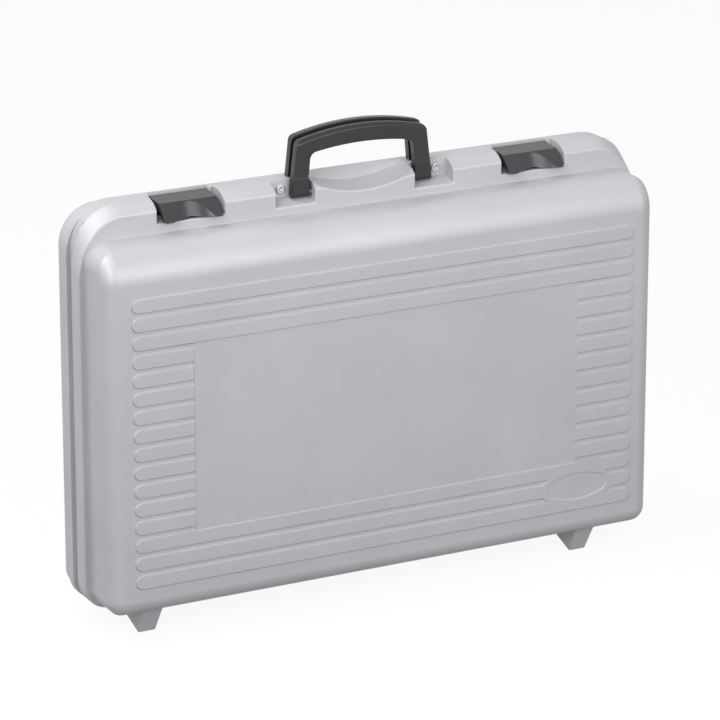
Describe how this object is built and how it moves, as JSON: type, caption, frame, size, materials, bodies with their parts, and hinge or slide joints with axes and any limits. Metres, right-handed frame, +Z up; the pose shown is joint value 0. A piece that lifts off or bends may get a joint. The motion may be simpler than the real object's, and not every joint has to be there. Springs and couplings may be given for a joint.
{
  "type": "hard tool case",
  "caption": "Moulded hard tool case with a ribbed front, bottom hinge, flip-up top latches, folding carry handle and moulded feet.",
  "frame": {"origin": "centre of the width and depth, on the ground plane under the feet", "axes": "+Z up, -Y out of the ribbed front, +X to the right seen from the front"},
  "size_m": [0.464, 0.092, 0.3577],
  "materials": {
    "shell": "satin silver-grey moulded plastic",
    "handle": "satin charcoal moulded plastic",
    "latch": "satin dark grey moulded plastic",
    "steel": "bright zinc-plated steel"
  },
  "bodies": {
    "front": {"front_shell": "shell", "hinge_rod": "steel", "handle_bracket_left": "steel", "handle_bracket_right": "steel", "handle_screw_left": "steel", "handle_screw_right": "steel"},
    "lid": {"rear_shell": "shell", "latch_pin_left": "steel", "latch_pin_right": "steel"},
    "carry_handle": {"handle": "handle", "handle_pin_left": "steel", "handle_pin_right": "steel"},
    "left_latch": {"latch_left": "latch"},
    "right_latch": {"latch_right": "latch"}
  },
  "joints": [
    {"name": "lid_hinge", "type": "hinge", "parent": "front", "child": "lid", "pos_m": [0, 0.014, 0.0155], "axis": [-1, 0, 0], "range_deg": [0, 135]},
    {"name": "handle_fold", "type": "hinge", "parent": "front", "child": "carry_handle", "pos_m": [0, 0.00135, 0.3097], "axis": [1, 0, 0], "range_deg": [0, 95]},
    {"name": "left_latch_flip", "type": "hinge", "parent": "lid", "child": "left_latch", "pos_m": [-0.142, 0.0166, 0.3155], "axis": [-1, 0, 0], "range_deg": [0, 95]},
    {"name": "right_latch_flip", "type": "hinge", "parent": "lid", "child": "right_latch", "pos_m": [0.142, 0.0166, 0.3155], "axis": [-1, 0, 0], "range_deg": [0, 95]}
  ]
}
